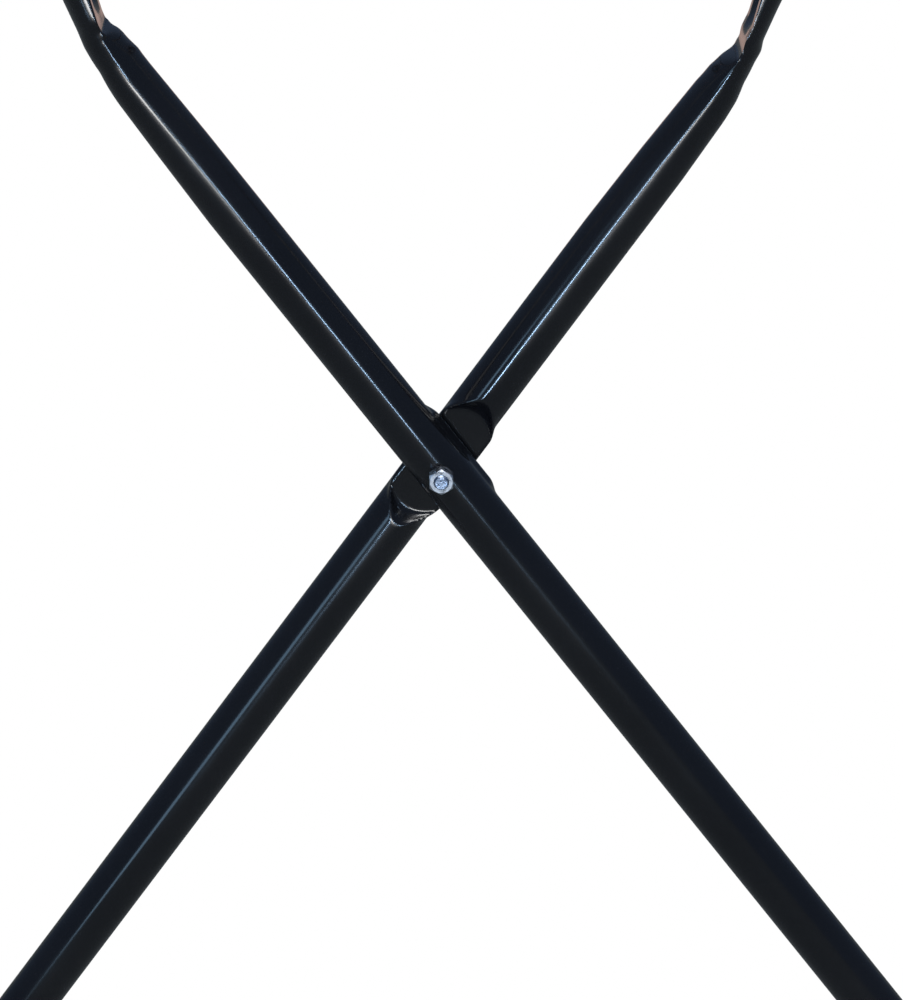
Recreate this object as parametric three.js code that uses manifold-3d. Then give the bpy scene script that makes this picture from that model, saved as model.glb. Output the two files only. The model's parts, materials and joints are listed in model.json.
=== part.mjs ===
import * as THREE from 'three';
import { mergeVertices } from 'three/addons/utils/BufferGeometryUtils.js';
import Module from 'manifold-3d';

// Folding hammock on a stand. Millimetres, +Z up, long axis Y.
// Origin: middle of the footprint, on the floor.

// ---- driving sizes ----
const END_SPACING = 1900;      // between the outer cross tubes, along Y
const PIVOT_HEIGHT = 420;
const LEG_ANGLE = 53.8;        // degrees from horizontal, below the bend
const RAIL_SPACING = 568;      // between the rail centres when open
const RAIL_HEIGHT = 938;       // rail centres above the floor
const OUTER_BEND = 290;        // pivot to bend along the leg, outer frame
const INNER_BEND = 268;        // the same for the inner frame
const OUTER_OD = 30;
const INNER_OD = 30;
const RAIL_OD = 28;
const BAR_OD = 30;
const WALL = 1.5;
const FLAT_DEPTH = 6;          // press flat on the mating side of a cross tube
const FLAT_HALF = 31;          // half length of the full-depth flat
const FLAT_RAMP = 8;           // run-out at each end of the flat
const BEND_HALF = 12;          // half length of the bent stretch
const KINK_PAST = 19;          // bend to the deepest point of its crush
const CRUSH_DEPTH = 10;        // dent on the inside of the bend
const CRUSH_BACK = 3;          // flattening of the outside of the bend
const CRUSH_RISE = 38;         // length over which the crush deepens, below the kink
const CRUSH_FADE = 90;         // length over which it fades, above the kink
const CRUSH_SPREAD = 0.12;     // share by which the crushed tube widens
const PRESS_SPREAD = 0.08;     // share by which the pressed tube widens
const PIVOT_GAP = 3;           // between the two flats
const BAR_CENTRE_Z = 24;
const FIT = 0.3;               // clearance between touching pieces
const SLEEVE_WALL = 1.05;
const SLEEVE_PROUD = 1.8;      // sleeve past the outer tube's face
const SLEEVE_TAIL = 0.8;       // sleeve past the inner tube's face
const SPACER_WALL = 6.35;
const PIVOT_BOLT_D = 8;
const NUT_FLATS = 13;
const NUT_THICK = 6.5;
const NUT_BORE_GAP = 0.15;
const HEAD_HIGH = 4.5;
const TIP_PROUD = 1.7;         // bolt tip past its nut
const TIP_CHAMFER = 0.9;
const JOIN_BOLT_D = 6;
const JOIN_GAP = 0.4;          // round a joining bolt in a long tube
const BUTTON_HIGH = 3.5;
const TUBE_SIDES = 18;         // facets of a cross tube
const LONG_SIDES = 24;         // facets of a rail or floor bar
const PLUG_LENGTH = 30;
const PLUG_SET = 6;            // plug's start past the long tube's skin
const PLUG_GRIP = 0.75;        // share of the plug that the bolt reaches
const CAP_WALL = 3;
const CAP_HIGH = 5;
const CAP_DEEP = 14;
const FOOT_LENGTH = 32;
const FOOT_GAP = 4;            // between a foot and the cross tube beside it
const CLOTH_THICK = 1.2;
const CLOTH_GAP = 0.6;         // cloth to the rail inside its sleeve
const CLOTH_WRAP = 285;        // degrees round a rail
const CLOTH_END_GAP = 30;      // cloth edge to the nearer tube axis
const SAG_END = 200;
const SAG_MIDDLE = 290;

// ---- sizes that follow ----
const rad = (degrees) => degrees * Math.PI / 180;
const AXIS_GAP = OUTER_OD / 2 + INNER_OD / 2 - 2 * FLAT_DEPTH + PIVOT_GAP;
const OUTER_Y = END_SPACING / 2;
const INNER_Y = OUTER_Y - AXIS_GAP;
const RAIL_X = RAIL_SPACING / 2;
const LEG_LENGTH = (PIVOT_HEIGHT - BAR_CENTRE_Z) / Math.sin(rad(LEG_ANGLE));
const BAR_X = LEG_LENGTH * Math.cos(rad(LEG_ANGLE));
const CLOTH_HALF = INNER_Y - CLOTH_END_GAP;
const OVERHANG = OUTER_OD / 2 + FOOT_GAP + FOOT_LENGTH - CAP_WALL - FIT;
const SLEEVE_OD = PIVOT_BOLT_D + 2 * (FIT + SLEEVE_WALL);
const COPE = 7;                // a cross tube stops this far from a long tube's axis

// Arm from the bend to the rail centre, which both frames share.
function armOf(bend) {
  const dx = RAIL_X - bend * Math.cos(rad(LEG_ANGLE));
  const dz = RAIL_HEIGHT - PIVOT_HEIGHT - bend * Math.sin(rad(LEG_ANGLE));
  const angle = Math.atan2(dz, dx);
  const half = (angle - rad(LEG_ANGLE)) / 2;
  const lead = BEND_HALF * (Math.abs(half) < 1e-6 ? 1 : Math.tan(half) / half);
  return { bend, angle, lead, length: Math.hypot(dx, dz) };
}

const wasm = await Module();
wasm.setup();
const { Manifold, Mesh } = wasm;

const group = new THREE.Group();
group.name = 'hammock_on_stand';

const FINISH = {
  paint: { color: 0x101114, roughness: 0.22, metalness: 0.3 },
  zinc: { color: 0xb9c2cc, roughness: 0.35, metalness: 0.9 },
  plastic: { color: 0x17181a, roughness: 0.6, metalness: 0.0 },
  rubber: { color: 0x1d1d1e, roughness: 0.85, metalness: 0.0 },
  cloth: { color: 0xb5603c, roughness: 0.9, metalness: 0.0 },
};

function add(name, geometry, finish) {
  const mesh = new THREE.Mesh(geometry, new THREE.MeshStandardMaterial(FINISH[finish]));
  mesh.name = name;
  group.add(mesh);
}

function toSolid(geometry) {
  let plain = geometry.clone();
  plain.deleteAttribute('normal');
  plain.deleteAttribute('uv');
  plain = mergeVertices(plain, 1e-4);
  const mesh = new Mesh({
    numProp: 3,
    vertProperties: new Float32Array(plain.attributes.position.array),
    triVerts: new Uint32Array(plain.index.array),
  });
  mesh.merge();
  return new Manifold(mesh);
}

function toGeometry(solid) {
  const mesh = solid.getMesh();
  const geometry = new THREE.BufferGeometry();
  geometry.setAttribute('position', new THREE.BufferAttribute(new Float32Array(mesh.vertProperties), 3));
  geometry.setIndex(new THREE.BufferAttribute(new Uint32Array(mesh.triVerts), 1));
  geometry.computeVertexNormals();
  return geometry;
}

function cut(geometry, tools) {
  let solid = toSolid(geometry);
  for (const tool of tools) {
    solid = solid.subtract(toSolid(tool));
  }
  return toGeometry(solid);
}

function indexed(points, faces) {
  let volume = 0;
  for (const [a, b, c] of faces) {
    const [p, q, r] = [points[a], points[b], points[c]];
    volume += p[0] * (q[1] * r[2] - q[2] * r[1]);
    volume += p[1] * (q[2] * r[0] - q[0] * r[2]);
    volume += p[2] * (q[0] * r[1] - q[1] * r[0]);
  }
  const order = volume < 0 ? faces.map(([a, b, c]) => [a, c, b]) : faces;
  const geometry = new THREE.BufferGeometry();
  geometry.setAttribute('position', new THREE.Float32BufferAttribute(points.flat(), 3));
  geometry.setIndex(order.flat());
  geometry.computeVertexNormals();
  return geometry;
}

// Cylinder along Y between two Y values.
function rodY(radius, y0, y1, x, z, sides = 24) {
  const geometry = new THREE.CylinderGeometry(radius, radius, y1 - y0, sides);
  geometry.translate(x, (y0 + y1) / 2, z);
  return geometry;
}

// Lathe about a line: profile pairs are [radius, distance along the line].
function turned(profile, origin, direction, sides = 24) {
  const points = profile.map(([r, d]) => new THREE.Vector2(r, d));
  const geometry = new THREE.LatheGeometry(points, sides);
  const turn = new THREE.Quaternion();
  turn.setFromUnitVectors(new THREE.Vector3(0, 1, 0), direction.clone().normalize());
  geometry.applyQuaternion(turn);
  geometry.translate(origin.x, origin.y, origin.z);
  return geometry;
}

// Closed ring profile with a bore, from d0 to d1.
function ringProfile(bore, outer, d0, d1) {
  return [[bore, d0], [outer, d0], [outer, d1], [bore, d1], [bore, d0]];
}

function smooth(value) {
  const t = Math.min(1, Math.max(0, value));
  return t * t * (3 - 2 * t);
}

// Centre line of a cross tube whose arm rises towards -X, at distance t from the pivot.
function centreLine(t, arm) {
  const leg = rad(LEG_ANGLE);
  const start = arm.bend - arm.lead;
  const swing = arm.angle - leg;
  const steps = 24;
  if (t <= start) return { x: -t * Math.cos(leg), z: t * Math.sin(leg), angle: leg };
  let x = -start * Math.cos(leg);
  let z = start * Math.sin(leg);
  const inside = Math.min(t - start, 2 * BEND_HALF);
  for (let i = 0; i < steps; i += 1) {
    const a = leg + swing * (i + 0.5) / steps * inside / (2 * BEND_HALF);
    x -= Math.cos(a) * inside / steps;
    z += Math.sin(a) * inside / steps;
  }
  const angle = leg + swing * inside / (2 * BEND_HALF);
  const rest = Math.max(0, t - start - 2 * BEND_HALF);
  return { x: x - rest * Math.cos(angle), z: z + rest * Math.sin(angle), angle };
}

// How crushed the tube is at a distance from the kink: 1 at the kink, 0 far from it.
function crushAt(u) {
  return smooth(1 - (u < 0 ? -u / CRUSH_RISE : u / CRUSH_FADE));
}

function crossTube(od, y, mate, side, arm) {
  const sides = TUBE_SIDES;
  const flat = FLAT_HALF + FLAT_RAMP;
  const kink = arm.bend + KINK_PAST;
  const stations = [-(LEG_LENGTH - COPE), -flat - 1];
  for (let i = 0; i <= 2; i += 1) stations.push(-flat + FLAT_RAMP * i / 2);
  for (let i = 0; i <= 2; i += 1) stations.push(FLAT_HALF + FLAT_RAMP * i / 2);
  for (let i = 0; i <= 4; i += 1) stations.push(kink - CRUSH_RISE * (1 - i / 4));
  for (let i = 1; i <= 4; i += 1) stations.push(kink + CRUSH_FADE * i / 4);
  stations.push(arm.bend + arm.length - COPE);
  const points = [];
  for (const shrink of [0, WALL]) {
    for (const t of stations) {
      const c = centreLine(t, arm);
      const press = smooth((flat - Math.abs(t)) / FLAT_RAMP);
      const crush = crushAt(t - kink);
      const r = od / 2;
      for (let i = 0; i < sides; i += 1) {
        const phi = 2 * Math.PI * (i + 0.5) / sides;
        let a = (r - shrink) * Math.cos(phi) * (1 + PRESS_SPREAD * press);
        let b = (r - shrink) * Math.sin(phi) * (1 + CRUSH_SPREAD * crush);
        b = Math.min(b, r - FLAT_DEPTH * press - shrink);
        a = Math.min(a, r - CRUSH_DEPTH * crush - shrink);
        if (crush > 0) a = Math.max(a, CRUSH_BACK * crush - r + shrink);
        const px = c.x + a * Math.sin(c.angle);
        const pz = c.z + a * Math.cos(c.angle);
        points.push([side * -px, y + mate * b, PIVOT_HEIGHT + pz]);
      }
    }
  }
  const rows = stations.length;
  const faces = [];
  const at = (shell, row, i) => (shell * rows + row) * sides + i % sides;
  for (let i = 0; i < sides; i += 1) {
    for (let row = 0; row < rows - 1; row += 1) {
      faces.push([at(0, row, i), at(0, row, i + 1), at(0, row + 1, i + 1)]);
      faces.push([at(0, row, i), at(0, row + 1, i + 1), at(0, row + 1, i)]);
      faces.push([at(1, row, i), at(1, row + 1, i + 1), at(1, row, i + 1)]);
      faces.push([at(1, row, i), at(1, row + 1, i), at(1, row + 1, i + 1)]);
    }
    const last = rows - 1;
    faces.push([at(0, 0, i), at(1, 0, i + 1), at(0, 0, i + 1)]);
    faces.push([at(0, 0, i), at(1, 0, i), at(1, 0, i + 1)]);
    faces.push([at(0, last, i), at(0, last, i + 1), at(1, last, i + 1)]);
    faces.push([at(0, last, i), at(1, last, i + 1), at(1, last, i)]);
  }
  const reach = od + 20;
  return cut(indexed(points, faces), [
    rodY(RAIL_OD / 2 + FIT, y - reach, y + reach, side * RAIL_X, RAIL_HEIGHT, LONG_SIDES),
    rodY(BAR_OD / 2 + FIT, y - reach, y + reach, -side * BAR_X, BAR_CENTRE_Z, LONG_SIDES),
    rodY(SLEEVE_OD / 2 + FIT, y - reach, y + reach, 0, PIVOT_HEIGHT),
  ]);
}

// Straight tube along Y with a cross hole for each joining bolt.
function longTube(od, half, x, z, boltYs, direction) {
  const outer = rodY(od / 2, -half, half, x, z, LONG_SIDES);
  const tools = [rodY(od / 2 - WALL, -half - 5, half + 5, x, z, LONG_SIDES)];
  const bore = JOIN_BOLT_D / 2 + JOIN_GAP;
  for (const y of boltYs) {
    const hole = new THREE.CylinderGeometry(bore, bore, od + 20, 12);
    const turn = new THREE.Quaternion();
    turn.setFromUnitVectors(new THREE.Vector3(0, 1, 0), direction);
    hole.applyQuaternion(turn);
    hole.translate(x, y, z);
    tools.push(hole);
  }
  return cut(outer, tools);
}

// Button-head bolt through a long tube into the plug of a cross tube.
function joinBolt(od, x, y, z, direction) {
  const base = -od / 2 - FIT;
  const tip = od / 2 + PLUG_SET + PLUG_LENGTH * PLUG_GRIP;
  const r = JOIN_BOLT_D / 2;
  const profile = [[0, base - BUTTON_HIGH], [1.07 * r, base - 0.88 * BUTTON_HIGH],
    [1.67 * r, base - 0.45 * BUTTON_HIGH], [1.83 * r, base],
    [r, base], [r, tip - 0.8], [r - 0.8, tip], [0, tip]];
  return turned(profile, new THREE.Vector3(x, y, z), direction, 12);
}

function plug(tubeOd, od, x, y, z, direction) {
  const start = od / 2 + PLUG_SET;
  const outer = (tubeOd / 2 - WALL) * Math.cos(Math.PI / TUBE_SIDES) - FIT;
  const profile = ringProfile(JOIN_BOLT_D / 2 + FIT, outer, start, start + PLUG_LENGTH);
  return turned(profile, new THREE.Vector3(x, y, z), direction, 14);
}

function railCap(end, half, x, z) {
  const r = RAIL_OD / 2;
  const bore = (r - WALL) * Math.cos(Math.PI / LONG_SIDES) - FIT;
  const profile = [[0, -CAP_DEEP], [bore, -CAP_DEEP], [bore, FIT], [r, FIT],
    [r, 0.6 * CAP_HIGH], [r - 2, CAP_HIGH], [0, CAP_HIGH]];
  const origin = new THREE.Vector3(x, end * half, z);
  return turned(profile, origin, new THREE.Vector3(0, end, 0), 18);
}

// Flat-bottomed rubber foot over the end of a floor bar.
function foot(end, half, x) {
  const r = BAR_OD / 2 + FIT + CAP_WALL;
  const shape = new THREE.Shape();
  shape.moveTo(-r, 0);
  shape.lineTo(r, 0);
  shape.lineTo(r, BAR_CENTRE_Z);
  shape.absarc(0, BAR_CENTRE_Z, r, 0, Math.PI, false);
  shape.lineTo(-r, 0);
  const body = new THREE.ExtrudeGeometry(shape, {
    depth: FOOT_LENGTH, bevelEnabled: false, curveSegments: 10,
  });
  body.rotateX(Math.PI / 2);
  const outside = half + CAP_WALL + FIT;
  body.translate(x, end > 0 ? outside : -outside + FOOT_LENGTH, 0);
  const inner = half - FOOT_LENGTH;
  const y0 = end > 0 ? inner : -half - FIT;
  const y1 = end > 0 ? half + FIT : -inner;
  return cut(body, [rodY(BAR_OD / 2 + FIT, y0, y1, x, BAR_CENTRE_Z, LONG_SIDES)]);
}

function hexNut(y0, y1) {
  const corner = NUT_FLATS / Math.sqrt(3);
  const shape = new THREE.Shape();
  for (let i = 0; i < 6; i += 1) {
    const a = Math.PI / 2 + i * Math.PI / 3;
    if (i === 0) shape.moveTo(corner * Math.cos(a), corner * Math.sin(a));
    else shape.lineTo(corner * Math.cos(a), corner * Math.sin(a));
  }
  shape.closePath();
  const hole = new THREE.Path();
  hole.absarc(0, 0, PIVOT_BOLT_D / 2 + NUT_BORE_GAP, 0, 2 * Math.PI, true);
  shape.holes.push(hole);
  const geometry = new THREE.ExtrudeGeometry(shape, {
    depth: y1 - y0, bevelEnabled: false, curveSegments: 24,
  });
  geometry.rotateX(Math.PI / 2);
  geometry.translate(0, y1, PIVOT_HEIGHT);
  return geometry;
}

// Everything on one pivot. Distances run outwards from the outer tube axis.
function pivotStack(end, tag) {
  const outward = new THREE.Vector3(0, end, 0);
  const origin = new THREE.Vector3(0, end * OUTER_Y, PIVOT_HEIGHT);
  const outerFace = OUTER_OD / 2;
  const innerFace = -AXIS_GAP - INNER_OD / 2;
  const sleeveOut = outerFace + SLEEVE_PROUD;
  const sleeveIn = innerFace - SLEEVE_TAIL;
  const gapMiddle = OUTER_OD / 2 - FLAT_DEPTH;
  const bolt = PIVOT_BOLT_D / 2;
  const sleeve = ringProfile(bolt + FIT, SLEEVE_OD / 2, sleeveIn, sleeveOut);
  add(`pivot_sleeve_${tag}`, turned(sleeve, origin, outward), 'zinc');
  const spacerIn = -gapMiddle - PIVOT_GAP + FIT;
  const bore = SLEEVE_OD / 2 + FIT;
  const spacer = ringProfile(bore, bore + SPACER_WALL, spacerIn, -gapMiddle - FIT);
  add(`pivot_spacer_${tag}`, turned(spacer, origin, outward, 24), 'plastic');
  const nutIn = sleeveOut + FIT;
  const nutOut = nutIn + NUT_THICK;
  const a = end * (OUTER_Y + nutIn);
  const b = end * (OUTER_Y + nutOut);
  add(`pivot_nut_${tag}`, hexNut(Math.min(a, b), Math.max(a, b)), 'zinc');
  const head = sleeveIn - FIT;
  const tip = nutOut + TIP_PROUD;
  const profile = [[0, head - HEAD_HIGH], [bolt, head - 0.89 * HEAD_HIGH],
    [1.75 * bolt, head - 0.49 * HEAD_HIGH], [2 * bolt, head],
    [bolt, head], [bolt, tip - TIP_CHAMFER], [bolt - TIP_CHAMFER, tip], [0, tip]];
  add(`pivot_bolt_${tag}`, turned(profile, origin, outward, 20), 'zinc');
}

// Cross-section of the sling at one Y: a thin strip round both rails.
function slingSection(sag) {
  const mid = RAIL_OD / 2 + CLOTH_GAP + CLOTH_THICK / 2;
  let alpha = Math.atan(2 * sag / RAIL_X);
  for (let i = 0; i < 6; i += 1) {
    const edge = RAIL_X - mid * Math.sin(alpha);
    alpha = Math.atan(2 * sag / edge);
  }
  const leave = Math.PI / 2 - alpha;
  const wrap = rad(CLOTH_WRAP);
  const path = [];
  for (let i = 0; i <= 14; i += 1) {
    const theta = leave + wrap * (1 - i / 14);
    path.push([-RAIL_X + mid * Math.cos(theta), RAIL_HEIGHT + mid * Math.sin(theta)]);
  }
  const [edgeX, edgeZ] = path[14];
  const drop = Math.abs(edgeX) * Math.tan(alpha) / 2;
  for (let i = 1; i < 18; i += 1) {
    const x = edgeX + 2 * Math.abs(edgeX) * i / 18;
    path.push([x, edgeZ - drop * (1 - (x / edgeX) ** 2)]);
  }
  for (let i = 14; i >= 0; i -= 1) path.push([-path[i][0], path[i][1]]);
  const upper = [];
  const lower = [];
  for (let i = 0; i < path.length; i += 1) {
    const before = path[Math.max(0, i - 1)];
    const after = path[Math.min(path.length - 1, i + 1)];
    const dx = after[0] - before[0];
    const dz = after[1] - before[1];
    const size = Math.hypot(dx, dz);
    const nx = -dz / size * CLOTH_THICK / 2;
    const nz = dx / size * CLOTH_THICK / 2;
    upper.push([path[i][0] + nx, path[i][1] + nz]);
    lower.push([path[i][0] - nx, path[i][1] - nz]);
  }
  return { upper, lower };
}

function sling() {
  const rows = 10;
  const points = [];
  let count = 0;
  for (let row = 0; row <= rows; row += 1) {
    const y = CLOTH_HALF * (2 * row / rows - 1);
    const sag = SAG_MIDDLE - (SAG_MIDDLE - SAG_END) * (y / CLOTH_HALF) ** 2;
    const { upper, lower } = slingSection(sag);
    count = upper.length;
    for (const [x, z] of upper) points.push([x, y, z]);
    for (const [x, z] of lower) points.push([x, y, z]);
  }
  const faces = [];
  const at = (row, layer, i) => row * 2 * count + layer * count + i;
  for (let row = 0; row < rows; row += 1) {
    for (let i = 0; i < count - 1; i += 1) {
      faces.push([at(row, 0, i), at(row, 0, i + 1), at(row + 1, 0, i + 1)]);
      faces.push([at(row, 0, i), at(row + 1, 0, i + 1), at(row + 1, 0, i)]);
      faces.push([at(row, 1, i), at(row + 1, 1, i + 1), at(row, 1, i + 1)]);
      faces.push([at(row, 1, i), at(row + 1, 1, i), at(row + 1, 1, i + 1)]);
    }
    const e = count - 1;
    faces.push([at(row, 0, 0), at(row + 1, 0, 0), at(row + 1, 1, 0)]);
    faces.push([at(row, 0, 0), at(row + 1, 1, 0), at(row, 1, 0)]);
    faces.push([at(row, 0, e), at(row + 1, 1, e), at(row + 1, 0, e)]);
    faces.push([at(row, 0, e), at(row, 1, e), at(row + 1, 1, e)]);
  }
  for (let i = 0; i < count - 1; i += 1) {
    faces.push([at(0, 0, i), at(0, 1, i + 1), at(0, 0, i + 1)]);
    faces.push([at(0, 0, i), at(0, 1, i), at(0, 1, i + 1)]);
    faces.push([at(rows, 0, i), at(rows, 0, i + 1), at(rows, 1, i + 1)]);
    faces.push([at(rows, 0, i), at(rows, 1, i + 1), at(rows, 1, i)]);
  }
  return indexed(points, faces);
}

// ---- assembly ----
const frames = [
  { tag: 'outer', od: OUTER_OD, y: OUTER_Y, side: -1, inwards: -1, arm: armOf(OUTER_BEND) },
  { tag: 'inner', od: INNER_OD, y: INNER_Y, side: 1, inwards: 1, arm: armOf(INNER_BEND) },
];

for (const frame of frames) {
  const railX = frame.side * RAIL_X;
  const barX = -frame.side * BAR_X;
  const half = frame.y + OVERHANG;
  const down = new THREE.Vector3(
    -frame.side * Math.cos(frame.arm.angle), 0, -Math.sin(frame.arm.angle));
  const up = new THREE.Vector3(
    frame.side * Math.cos(rad(LEG_ANGLE)), 0, Math.sin(rad(LEG_ANGLE)));
  const ys = [-frame.y, frame.y];
  add(`rail_${frame.tag}`, longTube(RAIL_OD, half, railX, RAIL_HEIGHT, ys, down), 'paint');
  add(`floor_bar_${frame.tag}`, longTube(BAR_OD, half, barX, BAR_CENTRE_Z, ys, up), 'paint');
  for (const end of [-1, 1]) {
    const where = end < 0 ? 'front' : 'back';
    const y = end * frame.y;
    const name = `${frame.tag}_${where}`;
    const mate = end * frame.inwards;
    add(`cross_tube_${name}`, crossTube(frame.od, y, mate, frame.side, frame.arm), 'paint');
    add(`rail_plug_${name}`, plug(frame.od, RAIL_OD, railX, y, RAIL_HEIGHT, down), 'plastic');
    add(`rail_bolt_${name}`, joinBolt(RAIL_OD, railX, y, RAIL_HEIGHT, down), 'zinc');
    add(`bar_plug_${name}`, plug(frame.od, BAR_OD, barX, y, BAR_CENTRE_Z, up), 'plastic');
    add(`bar_bolt_${name}`, joinBolt(BAR_OD, barX, y, BAR_CENTRE_Z, up), 'zinc');
    add(`rail_cap_${name}`, railCap(end, half, railX, RAIL_HEIGHT), 'plastic');
    add(`foot_${name}`, foot(end, half, barX), 'rubber');
  }
}

pivotStack(-1, 'front');
pivotStack(1, 'back');
add('sling', sling(), 'cloth');

export default group;
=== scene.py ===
"""Folding sling hammock on a crossed-tube stand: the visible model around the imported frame."""

import json
import logging
import math
from dataclasses import dataclass
from enum import Enum

import bmesh
import bpy
import numpy as np
from mathutils import Matrix, Quaternion, Vector


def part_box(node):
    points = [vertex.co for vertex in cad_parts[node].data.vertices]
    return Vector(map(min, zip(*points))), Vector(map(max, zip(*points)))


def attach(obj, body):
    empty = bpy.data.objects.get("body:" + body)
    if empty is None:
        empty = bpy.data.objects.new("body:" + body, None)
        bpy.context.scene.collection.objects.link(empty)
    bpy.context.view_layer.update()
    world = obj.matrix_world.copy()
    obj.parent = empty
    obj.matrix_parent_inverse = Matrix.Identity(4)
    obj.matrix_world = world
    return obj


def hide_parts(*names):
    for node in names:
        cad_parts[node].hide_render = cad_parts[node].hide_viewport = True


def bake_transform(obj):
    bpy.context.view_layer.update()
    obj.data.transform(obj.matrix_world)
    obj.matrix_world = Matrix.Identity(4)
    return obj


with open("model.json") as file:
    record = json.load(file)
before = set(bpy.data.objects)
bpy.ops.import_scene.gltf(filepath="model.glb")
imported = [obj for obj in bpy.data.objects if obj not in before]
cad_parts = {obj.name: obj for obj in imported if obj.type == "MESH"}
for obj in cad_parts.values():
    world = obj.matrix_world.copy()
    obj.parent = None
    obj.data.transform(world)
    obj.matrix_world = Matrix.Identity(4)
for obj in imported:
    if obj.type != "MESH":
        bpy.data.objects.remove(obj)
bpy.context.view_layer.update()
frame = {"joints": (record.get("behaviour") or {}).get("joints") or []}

LOG = logging.getLogger("hammock")
MM = 0.001
TURN = 2 * math.pi


class Body(str, Enum):
    """The two rigid halves of the stand."""

    OUTER = "outer_frame"
    INNER = "inner_frame"


class Slot(str, Enum):
    """Material slots of the record."""

    PAINT = "frame_paint"
    ZINC = "zinc"
    PLASTIC = "black_plastic"
    RUBBER = "foot_rubber"
    CLOTH = "sling_cloth"


def ease(value: np.ndarray) -> np.ndarray:
    """Smooth step of a value between 0 and 1.

    Args:
        value: any numbers; they are limited to 0..1.
    Returns:
        The eased numbers.
    """
    t = np.clip(value, 0.0, 1.0)
    return t * t * (3 - 2 * t)


# ---------------------------------------------------------------- finishes


def new_group(name: str, inputs: list[tuple[str, str, float]], outputs: list[str]) -> tuple:
    """Makes an empty shader group.

    Args:
        name: the group's name.
        inputs: name, socket type and default of each input.
        outputs: names of its float outputs.
    Returns:
        The tree, its input node and its output node.
    """
    tree = bpy.data.node_groups.new(name, "ShaderNodeTree")
    for label, kind, default in inputs:
        socket = tree.interface.new_socket(name=label, in_out="INPUT", socket_type=kind)
        if kind == "NodeSocketFloat":
            socket.default_value = default
    for label in outputs:
        tree.interface.new_socket(name=label, in_out="OUTPUT", socket_type="NodeSocketFloat")
    return tree, tree.nodes.new("NodeGroupInput"), tree.nodes.new("NodeGroupOutput")


def math_node(tree: bpy.types.NodeTree, operation: str, a: object, b: object = None) -> object:
    """Adds a Math node.

    Args:
        tree: the tree to add to.
        operation: the operation's name.
        a: first socket or number.
        b: second socket or number.
    Returns:
        The output socket.
    """
    node = tree.nodes.new("ShaderNodeMath")
    node.operation = operation
    for index, value in enumerate((a, b)):
        if value is None:
            continue
        if isinstance(value, (int, float)):
            node.inputs[index].default_value = value
        else:
            tree.links.new(value, node.inputs[index])
    return node.outputs[0]


def grain_group() -> bpy.types.NodeTree:
    """Fine surface grain with broad patches, shared by every hard finish.

    Returns:
        The group, built once.
    """
    found = bpy.data.node_groups.get("surface_grain")
    if found:
        return found
    tree, source, sink = new_group(
        "surface_grain",
        [("Vector", "NodeSocketVector", 0), ("Fine Scale", "NodeSocketFloat", 500.0),
         ("Patch Scale", "NodeSocketFloat", 20.0), ("Rough Low", "NodeSocketFloat", 0.2),
         ("Rough High", "NodeSocketFloat", 0.3)],
        ["Height", "Patch", "Roughness"])
    fine = tree.nodes.new("ShaderNodeTexNoise")
    fine.inputs["Detail"].default_value = 3.0
    patch = tree.nodes.new("ShaderNodeTexNoise")
    patch.inputs["Detail"].default_value = 5.0
    for noise, scale in ((fine, "Fine Scale"), (patch, "Patch Scale")):
        tree.links.new(source.outputs["Vector"], noise.inputs["Vector"])
        tree.links.new(source.outputs[scale], noise.inputs["Scale"])
    spread = tree.nodes.new("ShaderNodeMapRange")
    spread.inputs["From Min"].default_value = 0.35
    spread.inputs["From Max"].default_value = 0.65
    tree.links.new(patch.outputs[0], spread.inputs["Value"])
    tree.links.new(source.outputs["Rough Low"], spread.inputs["To Min"])
    tree.links.new(source.outputs["Rough High"], spread.inputs["To Max"])
    tree.links.new(fine.outputs[0], sink.inputs["Height"])
    tree.links.new(patch.outputs[0], sink.inputs["Patch"])
    tree.links.new(spread.outputs[0], sink.inputs["Roughness"])
    return tree


def weave_group() -> bpy.types.NodeTree:
    """Plain weave from a flat map in metres.

    Returns:
        The group, built once.
    """
    found = bpy.data.node_groups.get("plain_weave")
    if found:
        return found
    tree, source, sink = new_group(
        "plain_weave",
        [("Vector", "NodeSocketVector", 0), ("Threads", "NodeSocketFloat", 900.0)],
        ["Height", "Over"])
    split = tree.nodes.new("ShaderNodeSeparateXYZ")
    tree.links.new(source.outputs["Vector"], split.inputs[0])
    waves = []
    for axis in (0, 1):
        turn = math_node(tree, "MULTIPLY", split.outputs[axis], source.outputs["Threads"])
        turn = math_node(tree, "MULTIPLY", turn, math.pi)
        waves.append(math_node(tree, "SINE", turn))
    product = math_node(tree, "MULTIPLY", waves[0], waves[1])
    over = math_node(tree, "ADD", math_node(tree, "MULTIPLY", product, 0.5), 0.5)
    ridge = math_node(tree, "ABSOLUTE", product)
    tree.links.new(ridge, sink.inputs["Height"])
    tree.links.new(over, sink.inputs["Over"])
    return tree


def two_tone(tree: bpy.types.NodeTree, share: object, colours: tuple) -> None:
    """Colours the surface between two tones by a share from 0 to 1."""
    mix = tree.nodes.new("ShaderNodeMix")
    mix.data_type = "RGBA"
    mix.inputs[6].default_value = (*colours[0], 1)
    mix.inputs[7].default_value = (*colours[1], 1)
    tree.links.new(share, mix.inputs[0])
    tree.links.new(mix.outputs[2], tree.nodes["Principled BSDF"].inputs["Base Color"])


def bump_surface(tree: bpy.types.NodeTree, height: object, deep_mm: float) -> None:
    """Raises the surface by a height, as deep as the given millimetres."""
    bump = tree.nodes.new("ShaderNodeBump")
    bump.inputs["Strength"].default_value = 1.0
    bump.inputs["Distance"].default_value = deep_mm * MM
    tree.links.new(height, bump.inputs["Height"])
    tree.links.new(bump.outputs["Normal"], tree.nodes["Principled BSDF"].inputs["Normal"])


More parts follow.
